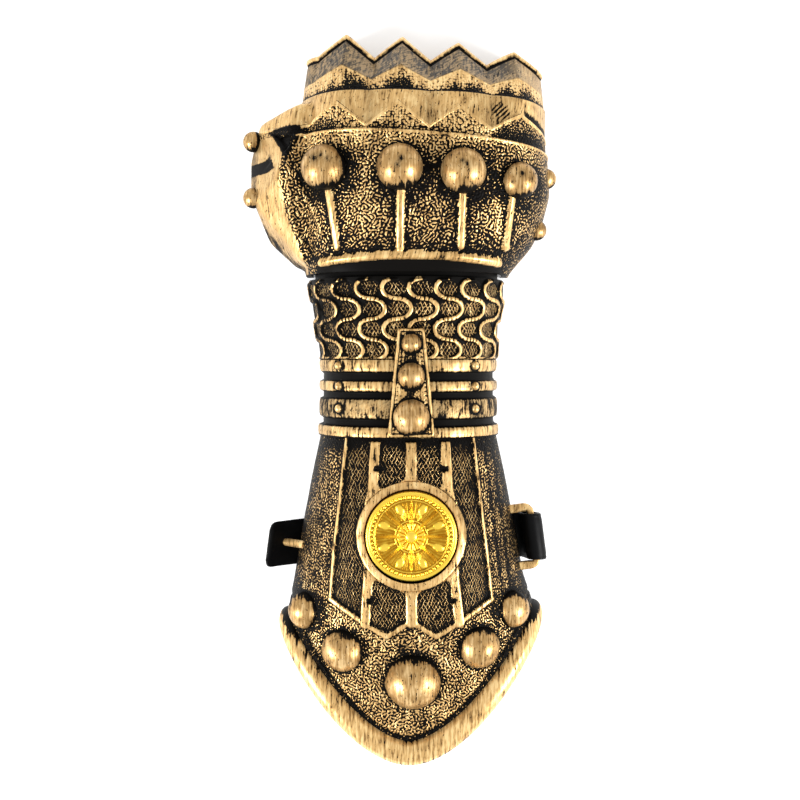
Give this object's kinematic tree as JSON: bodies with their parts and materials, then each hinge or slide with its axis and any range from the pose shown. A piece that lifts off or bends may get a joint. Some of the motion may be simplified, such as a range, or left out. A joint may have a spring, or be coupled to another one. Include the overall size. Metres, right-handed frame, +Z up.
{
  "type": "armoured gauntlet",
  "caption": "Costume gauntlet for the right hand: clenched-fist hand guard with ball studs, mail cuff, banded wrist, forearm guard with medallion and rolled elbow rim, strap behind.",
  "frame": {"origin": "on the floor plane, under the middle of the bounding box, with the gauntlet lying on its open back", "axes": "+Z up through the decorated face, +Y from the elbow to the finger points, +X towards the wearer's little finger"},
  "size_m": [0.1438, 0.3344, 0.0785],
  "materials": {
    "antique_gold": "moulded plastic painted black and dry-brushed with antique gold, satin",
    "stud_gold": "smooth antique gold over black, satin to gloss",
    "medallion_gold": "bright yellow gold, glossy",
    "strap_black": "soft black plastic, satin"
  },
  "bodies": {
    "root": {"hand_guard": "antique_gold", "forearm_guard": "antique_gold", "knuckle_stud_index": "stud_gold", "knuckle_stud_middle": "stud_gold", "knuckle_stud_ring": "stud_gold", "knuckle_stud_little": "stud_gold", "thumb_side_stud_upper": "stud_gold", "thumb_side_stud_lower": "stud_gold", "little_side_stud_upper": "stud_gold", "little_side_stud_lower": "stud_gold", "stud_plate": "antique_gold", "plate_stud_small": "stud_gold", "plate_stud_middle": "stud_gold", "plate_stud_large": "stud_gold", "elbow_stud_outer_left": "stud_gold", "elbow_stud_inner_left": "stud_gold", "elbow_stud_centre": "stud_gold", "elbow_stud_inner_right": "stud_gold", "elbow_stud_outer_right": "stud_gold", "medallion": "medallion_gold", "strap": "strap_black", "strap_loop": "antique_gold", "strap_peg": "antique_gold"}
  },
  "joints": []
}
